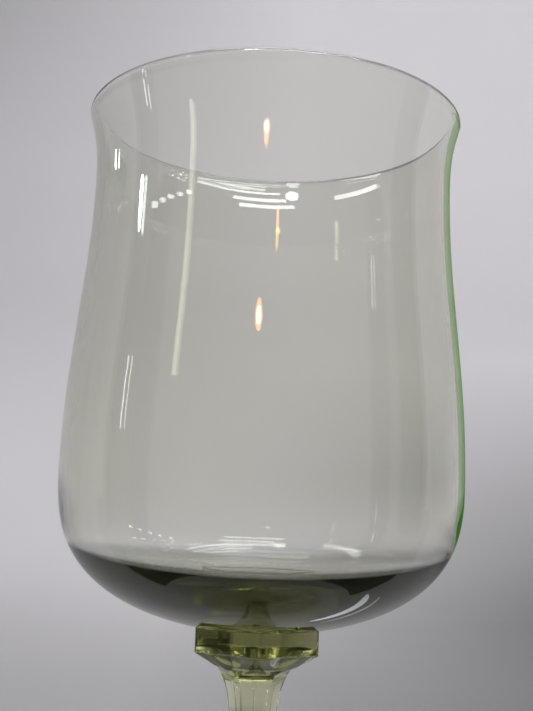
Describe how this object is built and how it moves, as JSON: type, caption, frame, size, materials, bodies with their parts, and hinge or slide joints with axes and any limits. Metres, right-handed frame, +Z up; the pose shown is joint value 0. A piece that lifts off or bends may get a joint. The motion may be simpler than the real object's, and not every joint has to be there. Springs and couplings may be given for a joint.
{
  "type": "wine glass",
  "caption": "Stemmed wine glass: tulip bowl with a gentle waist below a flared rim, on a six-sided stem with a scalloped capital and a round foot.",
  "frame": {"origin": "centre of the plane that the foot stands on", "axes": "+Z up along the glass's axis, from the foot to the rim; +X and -X point square to two of the capital's faces, and -Y points to one of its corners"},
  "size_m": [0.0782, 0.0782, 0.178],
  "materials": {
    "bowl_glass": "clear smoky grey-green blown glass, fire-polished",
    "stem_glass": "clear olive green pressed glass, glossy",
    "foot_glass": "clear olive green pressed glass, glossy"
  },
  "bodies": {
    "root": {"bowl": "bowl_glass", "stem": "stem_glass", "foot": "foot_glass"}
  },
  "joints": []
}
